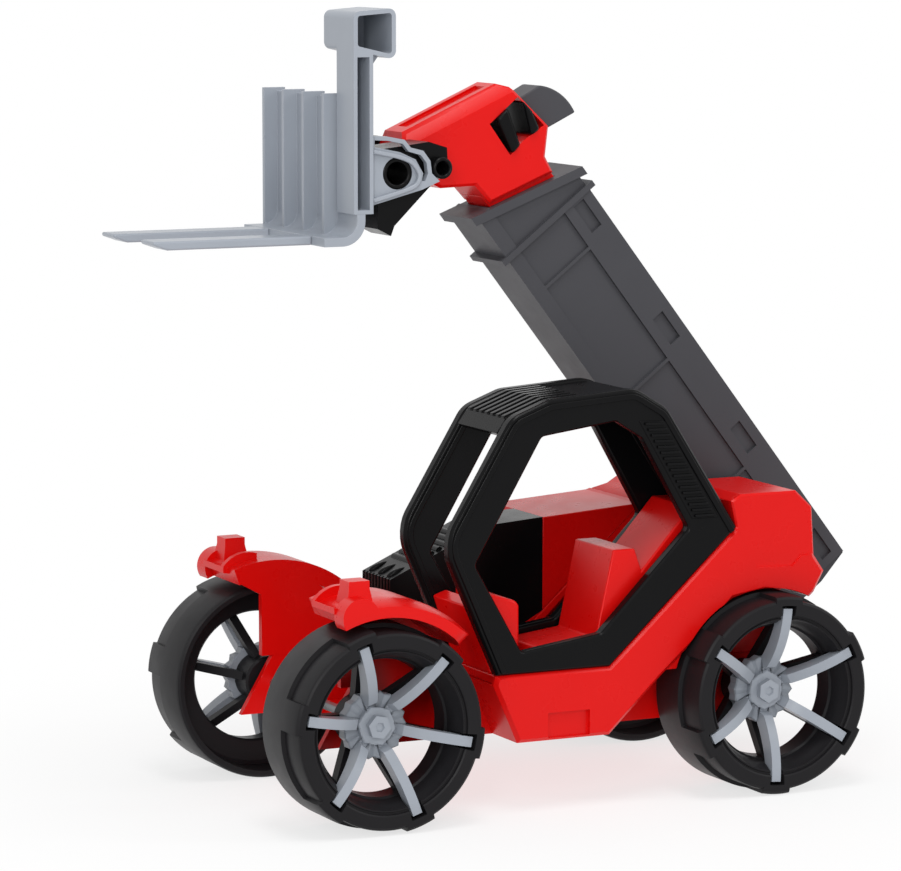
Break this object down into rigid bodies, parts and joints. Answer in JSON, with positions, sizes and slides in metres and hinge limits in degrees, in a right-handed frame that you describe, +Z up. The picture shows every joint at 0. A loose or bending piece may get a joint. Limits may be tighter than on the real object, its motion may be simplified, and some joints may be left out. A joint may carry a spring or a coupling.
{
  "type": "toy telehandler",
  "caption": "Toy telehandler with spoked wheels, open side cab, engine hood, hinged telescopic boom and a tilting pallet fork on a coupler.",
  "frame": {"origin": "on the floor, at the middle of the toy's length and width with the boom as stored", "axes": "+X forward, +Y to the driver's left, +Z up"},
  "size_m": [0.326, 0.1586, 0.3264],
  "materials": {
    "red_plastic": "moulded gloss",
    "black_plastic": "moulded satin",
    "grey_plastic": "moulded fine grain",
    "tyre_plastic": "moulded soft plastic",
    "silver_plastic": "moulded silver grey",
    "steel": "drawn bar"
  },
  "bodies": {
    "chassis": {"chassis_pan": "red_plastic", "side_panel_left": "red_plastic", "side_panel_right": "red_plastic", "rear_cheek_left": "red_plastic", "rear_cheek_right": "red_plastic", "boom_pivot_pin": "steel", "floor_plate_left": "red_plastic", "floor_plate_right": "red_plastic", "seat": "red_plastic", "console": "red_plastic", "front_fender_left": "red_plastic", "front_fender_right": "red_plastic", "engine_cover": "red_plastic", "hood": "black_plastic", "cab_frame_left": "black_plastic", "cab_frame_right": "black_plastic", "cab_roof": "black_plastic", "cab_rear_panel": "black_plastic", "front_axle": "steel", "rear_axle": "steel"},
    "boom": {"boom_sleeve": "grey_plastic"},
    "extension": {"inner_boom": "red_plastic", "boom_head": "red_plastic", "tilt_lever": "grey_plastic", "lock_bars": "black_plastic"},
    "fork": {"coupler": "black_plastic", "tilt_axle": "black_plastic", "carriage_pin": "black_plastic", "fork_carriage": "silver_plastic", "fork_tines": "silver_plastic", "tool_post": "silver_plastic"},
    "wheel_front_left": {"front_tyre_left": "tyre_plastic", "front_star_left": "silver_plastic"},
    "wheel_front_right": {"front_tyre_right": "tyre_plastic", "front_star_right": "silver_plastic"},
    "wheel_rear_left": {"rear_tyre_left": "tyre_plastic", "rear_star_left": "silver_plastic"},
    "wheel_rear_right": {"rear_tyre_right": "tyre_plastic", "rear_star_right": "silver_plastic"}
  },
  "joints": [
    {"name": "boom_lift", "type": "hinge", "parent": "chassis", "child": "boom", "pos_m": [-0.098, 0, 0.1137], "axis": [0, -1, 0], "range_deg": [-63, 8]},
    {"name": "boom_extend", "type": "slide", "parent": "boom", "child": "extension", "axis": [0.6129, 0, 0.7902], "range_m": [0, 0.085]},
    {"name": "fork_tilt", "type": "hinge", "parent": "extension", "child": "fork", "pos_m": [0.0411, 0, 0.2619], "axis": [0, 1, 0], "range_deg": [-63, 8]},
    {"name": "front_left_spin", "type": "hinge", "parent": "chassis", "child": "wheel_front_left", "pos_m": [0.0834, 0.0618, 0.0417], "axis": [0, 1, 0], "continuous": true},
    {"name": "front_right_spin", "type": "hinge", "parent": "chassis", "child": "wheel_front_right", "pos_m": [0.0834, -0.0618, 0.0417], "axis": [0, 1, 0], "continuous": true},
    {"name": "rear_left_spin", "type": "hinge", "parent": "chassis", "child": "wheel_rear_left", "pos_m": [-0.0954, 0.0618, 0.0417], "axis": [0, 1, 0], "continuous": true},
    {"name": "rear_right_spin", "type": "hinge", "parent": "chassis", "child": "wheel_rear_right", "pos_m": [-0.0954, -0.0618, 0.0417], "axis": [0, 1, 0], "continuous": true}
  ]
}
